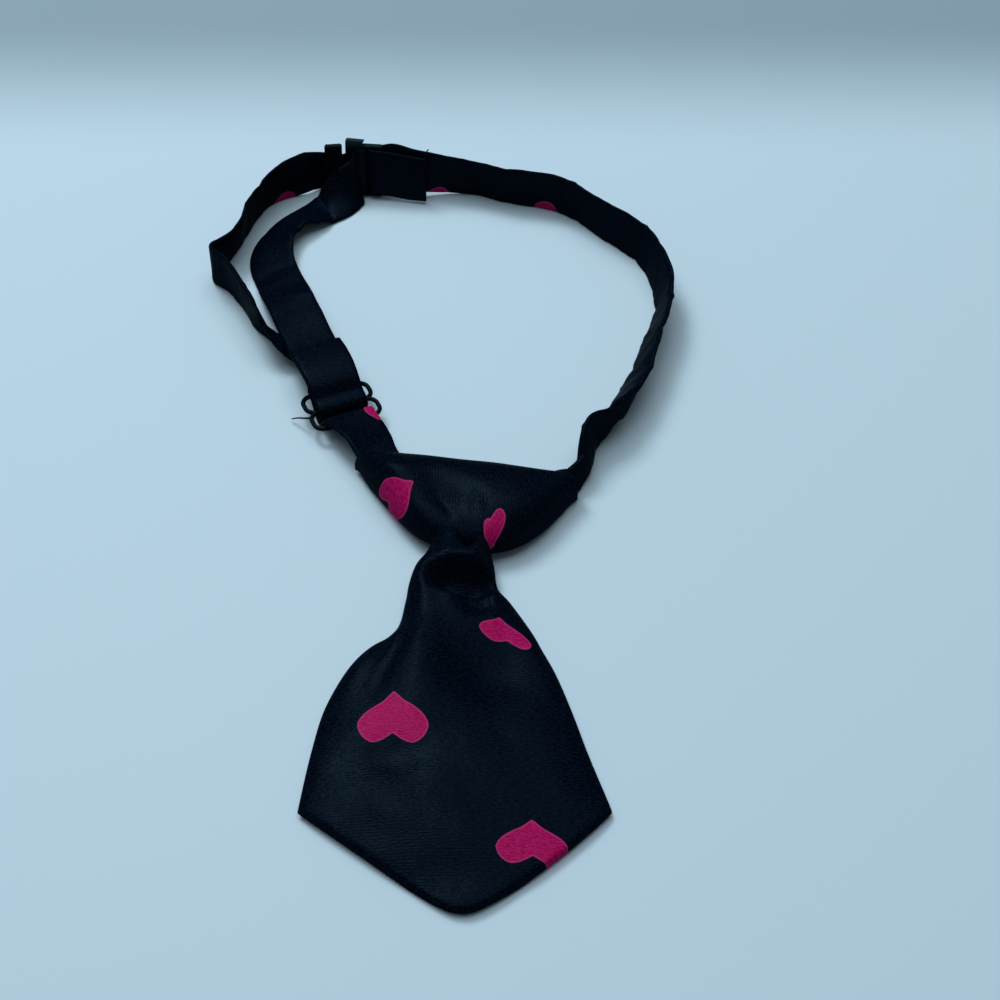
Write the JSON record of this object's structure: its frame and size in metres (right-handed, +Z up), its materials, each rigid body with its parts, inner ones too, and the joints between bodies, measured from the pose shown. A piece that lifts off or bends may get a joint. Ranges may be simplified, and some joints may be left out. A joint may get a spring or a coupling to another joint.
{
  "type": "dog necktie",
  "caption": "Small satin dog necktie with a half-moon knot, a pointed blade and an adjustable neck band with a slider and a hook clasp, lying flat.",
  "frame": {"origin": "on the table under the middle of the whole tie's bounding box", "axes": "+Y from the blade's point to the clasp, +Z up from the table, +X to the right as seen from the blade's end"},
  "size_m": [0.1168, 0.2286, 0.015],
  "materials": {
    "satin": "black satin with printed pink hearts",
    "lacquered_wire": "gloss black lacquer",
    "clasp_plastic": "black, slightly glossy"
  },
  "bodies": {
    "root": {"tie_blade": "satin", "tie_knot": "satin", "band_right": "satin", "band_left": "satin", "slider": "lacquered_wire", "clasp": "clasp_plastic"}
  },
  "joints": []
}
